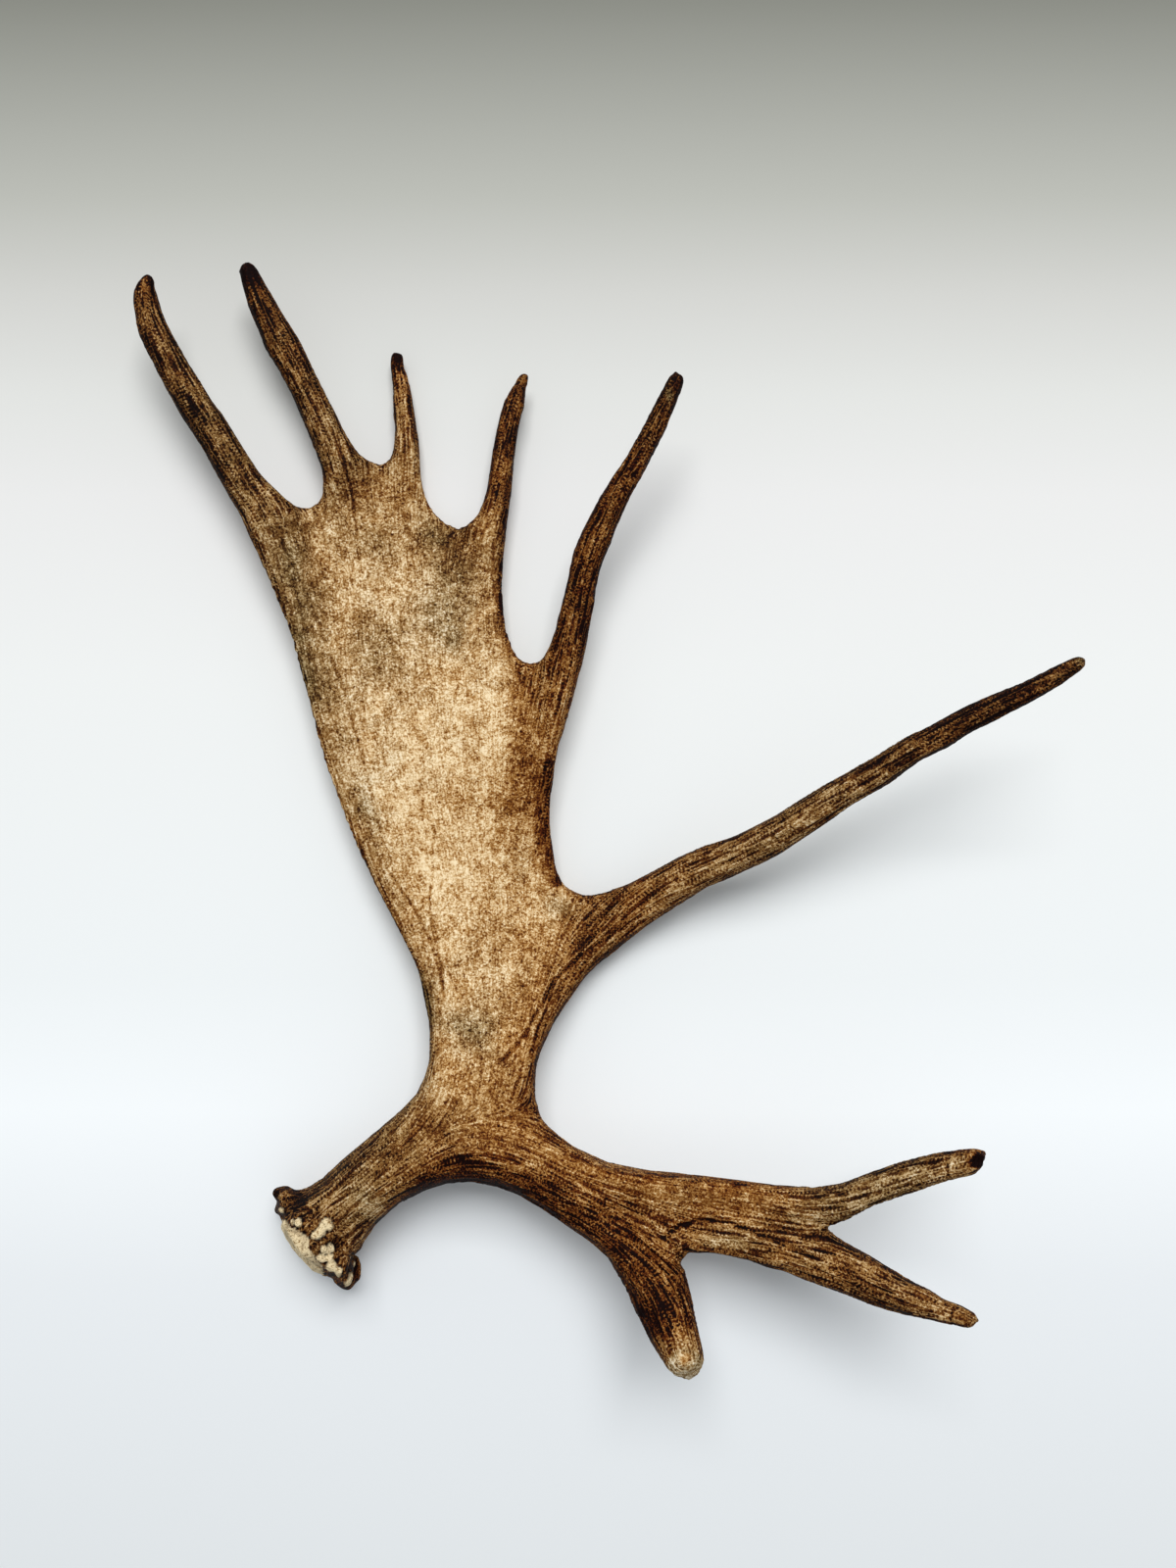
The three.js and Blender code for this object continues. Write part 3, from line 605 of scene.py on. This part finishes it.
class GrainField:
    """Which way the bone's grain runs, anywhere near the antler."""

    def __init__(self, points, step=8.0):
        self.step = step
        self.low = points.min(0) - 2 * step
        self.shape = np.ceil((points.max(0) + 2 * step - self.low) / step).astype(int) + 1
        axes = [self.low[k] + step * np.arange(self.shape[k]) for k in range(3)]
        grid = np.stack(np.meshgrid(*axes, indexing="ij"), axis=-1).reshape(-1, 3)
        self.ways = from_guides(grid, 7.0, GUIDE_WAYS)

    def at(self, points):
        scaled = (points - self.low) / self.step
        cell = np.clip(np.floor(scaled).astype(int), 0, self.shape - 2)
        part = np.clip(scaled - cell, 0, 1)
        total = np.zeros_like(points)
        for corner in range(8):
            bits = np.array([(corner >> k) & 1 for k in range(3)])
            i, j, k = (cell + bits).T
            weight = np.prod(np.where(bits, part, 1 - part), axis=1)
            way = self.ways[(i * self.shape[1] + j) * self.shape[2] + k]
            total += way * weight[:, None]
        return total / norms(total)[:, None]


def drawn_out(points, field, size, seed, length):
    """Noise with lumps of that size across the grain and drawn out over length along it: mean 0,
    spread 1."""
    step = size * 0.75
    total = lattice_noise(points, size, seed)
    weights = 1.0
    for way in (1, -1):
        here = points.copy()
        for k in range(1, int(length / step / 2) + 1):
            here = here + field.at(here) * (way * step)
            weight = np.cos(0.5 * np.pi * k * step / (length / 2 + step))
            total += weight * lattice_noise(here, size, seed)
            weights += weight
    total /= weights
    return (total - total.mean()) / total.std()


def grow_skin():
    """One closed skin over all of the antler's solids."""
    bpy.ops.object.select_all(action="DESELECT")
    for node in frame["nodes"].values():
        skin = add_object("skin", node.data.copy())
        skin.select_set(True)
        bpy.context.view_layer.objects.active = skin
    bpy.ops.object.join()
    skin.data.materials.clear()
    bpy.ops.object.mode_set(mode="EDIT")
    bpy.ops.mesh.select_all(action="SELECT")
    bpy.ops.mesh.remove_doubles(threshold=0.001 * MM)
    bpy.ops.transform.shrink_fatten(value=SWELL)
    bpy.ops.object.mode_set(mode="OBJECT")

    # The convex seal in the middle of the burr.
    bpy.ops.object.select_all(action="DESELECT")
    bpy.ops.mesh.primitive_uv_sphere_add(
        segments=32, ring_count=16, radius=1.0, location=(BURR_CENTRE - BURR_FACING) * MM,
        rotation=Vector(BURR_FACING).to_track_quat("Z", "Y").to_euler(),
        scale=[radius * MM for radius in SEAL_DOME],
    )
    skin.select_set(True)
    bpy.context.view_layer.objects.active = skin
    bpy.ops.object.join()

    even = {"mode": "VOXEL", "voxel_size": VOXEL, "use_smooth_shade": True}
    apply_modifier(skin, "REMESH", **even)
    relax(skin.data, 6)
    level_palm(skin.data)
    for step in range(FIT_ROUNDS):
        if step == 3:
            # The shifts have stretched the mesh along the rims, so it is made even again.
            apply_modifier(skin, "REMESH", **even)
            relax(skin.data, 3)
        fill_clefts(skin.data)
        fit_outlines(skin.data)
        relax(skin.data, 3 if step < FIT_ROUNDS - 1 else 2)
    apply_modifier(skin, "SUBSURF", levels=1, render_levels=1)
    return skin


def weathering_and_painted_shade(points, upward, top, flat, field):
    """How dark and how grey the bone is at each point, and how deep its grooves are, in mm. The
    darkness also holds painted shade on the underside, on the sides and along the outline.
    """
    dark, grey, depth = from_guides(points, 6.0, GUIDE_MARKS).T
    # Painted shade: faces that turn downwards are painted darker, and their grooves are cut deeper.
    under = smoothstep(0.0, -0.5, upward)
    dark = np.maximum(dark, 0.50 * under) + 0.06 * under
    depth = np.maximum(depth, 0.35 * under)
    side = smoothstep(0.2, 0.85, 1 - np.abs(upward))
    margin = margins(flat)
    face = inside(flat, PALM_FACE) * smoothstep(4, 15, margin) * top
    depth += (0.08 - depth) * 0.8 * face * smoothstep(0.9, 0.5, depth)
    depth += 0.30 * np.maximum(side, np.exp(-(margin / 6) ** 2)) * smoothstep(0.7, 0.2, depth)
    # Painted shade: faces that turn sideways, and a thin line along the outline on top, are painted
    # darker.
    dark += np.maximum(0.20 * side, 0.20 * np.exp(-(margin / 3.5) ** 2) * top)
    mottle = drawn_out(points, field, 6.0, 3, 45)
    dark += 0.027 * mottle + 0.07 * smoothstep(0.08, 0.6, depth)

    for x, y, wide, tall, more_dark, more_grey in STAINS:
        patch = np.exp(-((flat[:, 0] - x) / wide) ** 2 - ((flat[:, 1] - y) / tall) ** 2) * top
        dark += more_dark * patch
        grey += more_grey * patch

    for line, wide, more_dark, more_grey in BANDS:
        near, nearest, off = beside(flat, resampled(line, 2.0), wide * 2.5)
        fade = np.exp(-(off / wide) ** 2) * top[near]
        dark[near] += more_dark * fade
        grey[near] += more_grey * fade
    return dark, grey, depth


def grow_ridges(points, field):
    """Long thin ridges, which part and join again, with grooves between them: mean 0, spread 1."""
    broad = drawn_out(points, field, BROAD_RIDGES, 1, 100)
    narrow = drawn_out(points, field, NARROW_RIDGES, 2, 60)
    ridge = 0.65 * np.exp(-(broad / 0.42) ** 2) + 0.35 * np.exp(-(narrow / 0.45) ** 2)
    return (ridge - ridge.mean()) / ridge.std()


def grow_pearls(points, flat, top, near_burr, height, dark, bare):
    """Raises the ragged pearls of the burr, worn pale on top, each with a dark groove round it."""
    ragged = 2.4 * (lattice_noise(points, 3.5, 8) - 0.5)
    domes = np.zeros(len(points))
    for x, y, radius in PEARLS:
        off = norms(flat - (x, y))
        crown = np.argmax(np.where((off < 2) & (top > 0.5), points[:, 2], -1))
        off = np.maximum(off, norms(points - points[crown]) / 1.5) + ragged
        dome = np.sqrt(np.clip(1 - (off / radius) ** 2, 0, 1)) * top * near_burr ** 0.2
        domes = np.maximum(domes, 0.55 * radius * dome)
        rim = np.exp(-((off - radius - 0.6) / 0.9) ** 2) * top * (1 - smoothstep(0, 0.3, domes))
        height -= 0.8 * rim
        dark += 0.34 * rim
        bare = np.maximum(bare * (1 - 0.8 * rim), 0.92 * smoothstep(0.25, 0.6, dome))
    return height + domes, dark, bare


def cut_furrows(flat, top, height, dark):
    """Cuts the furrows and cracks into height, with a low pale lip to either side, and stains
    them."""
    for line, deep, wide, stain in FURROWS:
        line = resampled(line, 1.0)
        near, nearest, off = beside(flat, line, 6)
        from_end = np.minimum(nearest, len(line[0]) - 1 - nearest)
        fade = np.clip(from_end / 8 + 0.2, 0, 1) * top[near]
        groove = np.exp(-(off / wide) ** 2) * fade
        lip = np.exp(-((np.abs(off) - 2.0 * wide) / wide) ** 2) * fade
        height[near] += deep * (0.45 * lip - groove)
        dark[near] += stain * (groove - 0.4 * lip)


def wear_ends(points, flat, top, height, dark, grey):
    """Hollows the broken end of the third brow tine, and wears the end of the first pale."""
    hollow = norms(flat - HOLLOW_END)
    height -= 2.0 * smoothstep(5.0, 2.5, hollow) * top
    dark += 0.8 * smoothstep(6.5, 4.0, hollow)
    core = np.exp(-((norms(flat - WORN_CORE) / 5.0) ** 2))
    off = norms((flat - WORN_END) / (1.0, 0.9))
    worn = smoothstep(15, 11, off) * (points[:, 1] < -340)
    flecks = lattice_noise(points, 2.5, 9) - 0.5
    dark = dark * (1 - worn) + worn * (0.43 + 0.04 * core + 0.30 * flecks)
    grey = grey * (1 - worn) + worn * (0.75 - 0.95 * core)
    return dark, grey


def carve(skin):
    """Carves ridges, furrows, burr, seal and tips into the skin, and returns the marks that its
    material reads: which way the grain runs, and how dark, grey, ridged and worn bare each point
    is."""
    mesh = skin.data
    points = positions(mesh) / MM
    outward = normals(mesh)
    field = GrainField(points)
    grain = field.at(points)
    grain -= outward * (grain * outward).sum(1, keepdims=True)
    grain /= norms(grain)[:, None] + 1e-9
    flat = plan(points)
    upward = outward[:, 2]
    top = smoothstep(-0.1, 0.35, upward)
    dark, grey, depth = weathering_and_painted_shade(points, upward, top, flat, field)
    ridge = grow_ridges(points, field)
    ridged = smoothstep(0.08, 0.6, depth)

    # The burr's collar with its knobs, and the seal with its lumps and pits.
    from_burr = points - BURR_CENTRE
    along = from_burr @ BURR_FACING
    reach = norms(from_burr - along[:, None] * BURR_FACING)
    seal = smoothstep(SEAL_RADIUS + 1.5, SEAL_RADIUS - 1.5, reach)
    seal *= smoothstep(0.3, 0.6, outward @ BURR_FACING)
    seal = np.where(top > 0.5, inside(flat, SEAL) * 1.0, seal) * smoothstep(-14, -8, along)
    collar = smoothstep(-16, -6, along) * smoothstep(56, 50, reach) * (1 - seal)
    near_burr = smoothstep(85, 35, norms(from_burr)) * (1 - seal)
    lumps = lattice_noise(points, 6.5, 5) - 0.5
    pits = smoothstep(0.60, 0.78, lattice_noise(points, 2.8, 6))

    height = depth * 0.42 * ridge * (0.4 + 0.6 * np.abs(upward)) * (1 - seal) * (1 - 0.6 * collar)
    height += (
        lumps * (3.2 * collar + 1.2 * near_burr * (1 - collar))
        - 0.8 * pits * seal + 2.2 * lumps * seal
    )
    # The valleys between the ridges are painted darker: partly stain, partly painted shade.
    dark += collar * (0.18 - 0.6 * lumps) - 0.055 * ridge * ridged * (1 - seal)
    bare = seal * (0.95 - 0.45 * pits - 0.3 * smoothstep(0.0, -0.25, lumps))
    height, dark, bare = grow_pearls(points, flat, top, near_burr, height, dark, bare)
    cut_furrows(flat, top, height, dark)
    dark, grey = wear_ends(points, flat, top, height, dark, grey)

    points += outward * height[:, None]
    points[:, 2] = np.maximum(points[:, 2], 0.02)
    low, high = np.array(CAD_BOX) / MM
    set_positions(mesh, np.clip(points, low, high) * MM)
    ridged *= 1 - seal
    return {"grain": grain, "dark": dark, "grey": grey, "ridged": ridged, "bare": bare}


def weathered_bone_with_painted_shade():
    """Antler bone, cast by the animal and weathered outdoors. It looks dry and matt: cream where it
    is worn bare, tan on the broad faces, and stained brown to black in the grooves and at the
    tips. Its darkness also carries painted shade: on the sides, the underside and along the
    outline, and in part in the grooves."""
    material = bpy.data.materials.new("weathered_antler_bone_with_painted_shade")
    material.use_nodes = True
    tree = material.node_tree
    tree.nodes.clear()
    place = add_node(tree, "TexCoord").outputs["Object"]
    grain = add_node(tree, "Attribute", {"attribute_name": "grain"}).outputs["Vector"]
    marks = {
        name: add_node(tree, "Attribute", {"attribute_name": name}).outputs["Fac"]
        for name in ("dark", "grey", "ridged", "bare")
    }
    layers = {}

    # Patches that are the same in all directions, from -1 to 1, with their widths in mm. The
    # specks stand for pores of about 0.5 mm, which are too fine to show, so they are drawn coarser.
    for name, width, detail, spread in (
        ("specks", 1.5, 2.0, 0.14), ("blots", 8.0, 6.0, 0.15), ("clouds", 30.0, 4.0, 0.2),
    ):
        noise = add_node(
            tree, "TexNoise", None,
            {"Vector": place, "Scale": 1 / (width * MM), "Detail": detail, "Roughness": 0.7,
             "Distortion": 0.6},
        ).outputs["Fac"]
        layers[name] = add_node(
            tree, "MapRange", {"clamp": False},
            {"Value": noise, "From Min": 0.5 - spread, "From Max": 0.5 + spread, "To Min": -1.0},
        ).outputs[0]

    # Streaks along the grain, from -1 to 1, each the sum of noise at taps a step apart, in mm. The
    # fibres are a few tenths of a mm wide on the real bone, too fine to show, so they are drawn
    # coarser.
    taps, spread = 9, 0.09
    for name, width, step in (("fibres", 1.1, 1.1), ("winding", 3.0, 2.6)):
        total = 0.0
        for k in range(taps):
            shift = (k - (taps - 1) / 2) * step * MM
            spot = add_node(
                tree, "VectorMath", {"operation": "MULTIPLY_ADD"},
                {0: grain, 1: (shift, shift, shift), 2: place},
            ).outputs[0]
            noise = add_node(
                tree, "TexNoise", None,
                {"Vector": spot, "Scale": 1 / (width * MM), "Detail": 1.0, "Roughness": 0.5},
            ).outputs["Fac"]
            total = add_node(tree, "Math", {"operation": "ADD"}, {0: total, 1: noise}).outputs[0]
        layers[name] = add_node(
            tree, "MapRange", {"clamp": False},
            {"Value": total, "From Min": taps * (0.5 - spread), "From Max": taps * (0.5 + spread),
             "To Min": -1.0},
        ).outputs[0]

    # Thin pale ridge lines that wind along the grain, 3 to 4 mm apart, with darker furrows
    # between them, partly stain and partly painted shade.
    winding = add_node(tree, "Math", {"operation": "ABSOLUTE"}, {0: layers["winding"]}).outputs[0]
    for name, curve, low, high, start, end in (
        ("lines", "SMOOTHSTEP", 0.0, 0.5, 1.0, -0.1), ("furrows", "LINEAR", 0.4, 1.4, 0.0, 1.0),
    ):
        layers[name] = add_node(
            tree, "MapRange", {"interpolation_type": curve},
            {"Value": winding, "From Min": low, "From Max": high, "To Min": start, "To Max": end},
        ).outputs[0]

    # Where each layer is kept. Where the bone is stained dark, its ridges are rubbed pale and its
    # furrows are deep and darker still, partly stain and partly painted shade.
    for name, layer, mark in (
        ("coat", "fibres", "ridged"), ("grit", "specks", "ridged"), ("patches", "blots", "ridged"),
        ("lines", "lines", "ridged"), ("furrows", "furrows", "ridged"),
        ("rubbed", "lines", "dark"), ("deep", "furrows", "dark"),
    ):
        layers[name] = add_node(
            tree, "Math", {"operation": "MULTIPLY"}, {0: layers[layer], 1: marks[mark]},
        ).outputs[0]

    # How dark the bone is, how grey, and how high it stands: each a mark or layer, and what the
    # layers add to it.
    sums = {}
    for name, total, clamped, parts in (
        ("tone", marks["dark"], False, (
            ("fibres", 0.14), ("coat", 0.07), ("specks", 0.23), ("grit", -0.10), ("blots", 0.18),
            ("patches", -0.10), ("clouds", 0.07), ("lines", -0.10), ("rubbed", -0.30),
            ("furrows", 0.05), ("deep", 0.28),
        )),
        ("greyness", marks["grey"], True, (("clouds", 0.2), ("rubbed", 0.12))),
        ("relief", layers["lines"], False, (("fibres", -0.25), ("specks", -0.35))),
    ):
        for layer, strength in parts:
            total = add_node(
                tree, "Math", {"operation": "MULTIPLY_ADD", "use_clamp": clamped},
                {0: layers[layer], 1: strength, 2: total},
            ).outputs[0]
        sums[name] = total

    # Warm bone, weathered grey where it is grey, and rubbed to cream where it is bare.
    colour = add_node(tree, "ValToRGB", None, {"Fac": sums["tone"]}, [
        (0.0, "#F8E2BA"), (0.15, "#E8CB9C"), (0.30, "#CAA26D"), (0.45, "#A5753A"),
        (0.60, "#7B4817"), (0.75, "#552408"), (0.88, "#310C03"), (1.0, "#100201"),
    ]).outputs["Color"]
    for tone, amount, stops in (
        (sums["tone"], sums["greyness"], [
            (0.0, "#EFE6D2"), (0.15, "#D3C4A8"), (0.30, "#B09C76"), (0.45, "#87714A"),
            (0.60, "#5E4825"), (0.75, "#3A2911"), (0.88, "#1C1106"), (1.0, "#060302"),
        ]),
        (layers["specks"], marks["bare"], [(0.15, "#F2DDB2"), (1.0, "#9A7A4C")]),
    ):
        other = add_node(tree, "ValToRGB", None, {"Fac": tone}, stops).outputs["Color"]
        colour = add_node(
            tree, "Mix", {"data_type": "RGBA"}, {"Factor": amount, "A": colour, "B": other},
        ).outputs["Result"]

    bump = add_node(
        tree, "Bump", None,
        {"Height": sums["relief"], "Strength": 0.8, "Distance": 0.35 * MM},
    ).outputs["Normal"]
    rough = add_node(
        tree, "MapRange", None,
        {"Value": sums["tone"], "From Min": 0.2, "From Max": 1.0, "To Min": 0.85, "To Max": 0.65},
    ).outputs[0]
    surface = add_node(
        tree, "BsdfPrincipled", None,
        {"Base Color": colour, "Roughness": rough, "IOR": 1.54, "Specular IOR Level": 0.05,
         "Normal": bump},
    ).outputs["BSDF"]
    add_node(tree, "OutputMaterial", None, {"Surface": surface})
    return material


def put(mesh, name, values):
    """Keeps the values on the mesh's points, as an attribute."""
    kind, field = ("FLOAT", "value") if values.ndim == 1 else ("FLOAT_VECTOR", "vector")
    attribute = mesh.attributes.new(name, kind, "POINT")
    attribute.data.foreach_set(field, values.astype(np.float32).ravel())


def part_at_forks(skin, marks, material):
    """Parts the skin into a closed piece for each node of the antler, which stands for it. A face
    goes to the node that it lies nearest to."""
    mesh = skin.data
    points = positions(mesh)
    outward = normals(mesh)
    corners = np.empty(len(mesh.loops), dtype=np.int32)
    mesh.loops.foreach_get("vertex_index", corners)
    corners = corners.reshape(-1, 4)
    middles = points[corners].mean(1)
    owner = np.full(len(corners), -1)
    nearest = np.full(len(corners), np.inf)
    for i, (name, node) in enumerate(frame["nodes"].items()):
        solid = bmesh.new()
        solid.from_mesh(node.data)
        tree = BVHTree.FromBMesh(solid)
        solid.free()
        low, high = np.array(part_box(name))
        close = np.all((middles > low - 6 * MM) & (middles < high + 6 * MM), axis=1)
        for f in np.nonzero(close)[0]:
            away = tree.find_nearest(Vector(middles[f]), 30 * MM)[3]
            if away is not None and away < nearest[f]:
                nearest[f] = away
                owner[f] = i

    for i, name in enumerate(frame["nodes"]):
        used, faces = np.unique(corners[owner == i], return_inverse=True)
        part = bpy.data.meshes.new(name + "_bone")
        part.from_pydata(points[used].tolist(), [], faces.reshape(-1, 4).tolist())
        work = bmesh.new()
        work.from_mesh(part)
        bmesh.ops.holes_fill(work, edges=[edge for edge in work.edges if edge.is_boundary])
        work.to_mesh(part)
        work.free()
        part.materials.append(material)
        part.polygons.foreach_set("use_smooth", [True] * len(part.polygons))
        for mark, values in marks.items():
            put(part, mark, values[used])
        # The whole skin's normals, so that the light runs on across the forks.
        part.normals_split_custom_set_from_vertices(outward[used].tolist())
        piece = add_object(name + "_bone", part)
        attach(piece, "root")
        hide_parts(name)
    bpy.data.objects.remove(skin)


def backdrop_with_painted_falloff():
    """White backdrop paper. It looks matt and even, and its colour is painted with a bright band
    and with painted shade that falls off into grey at its far end.
    """
    material = bpy.data.materials.new("white_backdrop_paper_with_painted_falloff")
    material.use_nodes = True
    tree = material.node_tree
    surface = tree.nodes["Principled BSDF"]
    surface.inputs["Roughness"].default_value = 0.9
    place = add_node(tree, "TexCoord").outputs["Object"]
    away = add_node(tree, "SeparateXYZ", None, {"Vector": place}).outputs["Y"]
    far = add_node(tree, "MapRange", None, {"Value": away, "From Min": -0.6, "From Max": 0.6})
    # Painted light and shade: a brighter band across the floor, and painted shade that greys it
    # towards its far end.
    shade = add_node(tree, "ValToRGB", None, {"Fac": far.outputs[0]}, [
        (0.0, "#E6EAEC"), (0.21, "#EBEFF2"), (0.31, "#F6FAFC"), (0.39, "#EDF1F2"),
        (0.57, "#E9EBEA"), (0.68, "#E2E2E1"), (0.74, "#D8D9D6"), (0.80, "#C8C8C4"),
        (0.86, "#AFB0A9"), (0.98, "#7C7D75"),
    ]).outputs["Color"]
    tree.links.new(shade, surface.inputs["Base Color"])
    return material


def stand():
    """A pale floor, soft light from beyond the tines, and the camera straight above."""
    bpy.ops.object.select_all(action="DESELECT")
    bpy.ops.mesh.primitive_plane_add(size=8.0, location=(0, 0, 0))
    floor = bpy.context.view_layer.objects.active
    floor.name = "floor"
    floor.data.materials.append(backdrop_with_painted_falloff())

    world = bpy.data.worlds.new("studio")
    world.use_nodes = True
    sky = world.node_tree.nodes["Background"]
    sky.inputs["Color"].default_value = (0.95, 0.98, 1.0, 1.0)
    sky.inputs["Strength"].default_value = 0.36
    bpy.context.scene.world = world

    lamp = bpy.data.lights.new("softbox", "AREA")
    lamp.shape = "RECTANGLE"
    lamp.size, lamp.size_y = 2.8, 2.0
    lamp.energy = 188
    light = add_object("softbox", lamp)
    direction = Vector((0.062, 0.617, 1.0)).normalized()
    light.location = direction * 4.5
    light.rotation_euler = direction.to_track_quat("Z", "Y").to_euler()

    lens = bpy.data.cameras.new("camera")
    lens.lens, lens.sensor_width = 27, 36
    lens.clip_start = 0.01
    camera = add_object("camera", lens)
    camera.location = EYE * MM
    bpy.context.scene.camera = camera
    bpy.context.scene.view_settings.view_transform = "Standard"


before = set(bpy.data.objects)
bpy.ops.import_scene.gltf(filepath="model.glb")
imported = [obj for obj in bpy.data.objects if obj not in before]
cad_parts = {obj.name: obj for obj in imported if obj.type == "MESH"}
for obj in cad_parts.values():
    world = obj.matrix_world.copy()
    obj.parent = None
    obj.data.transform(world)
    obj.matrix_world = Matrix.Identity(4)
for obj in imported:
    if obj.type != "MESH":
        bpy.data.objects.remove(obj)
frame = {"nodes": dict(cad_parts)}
CAD_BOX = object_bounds()
GUIDE_PLACES, GUIDE_WAYS, GUIDE_MARKS = guide_samples()
stand()
antler = grow_skin()
antler_marks = carve(antler)
part_at_forks(antler, antler_marks, weathered_bone_with_painted_shade())
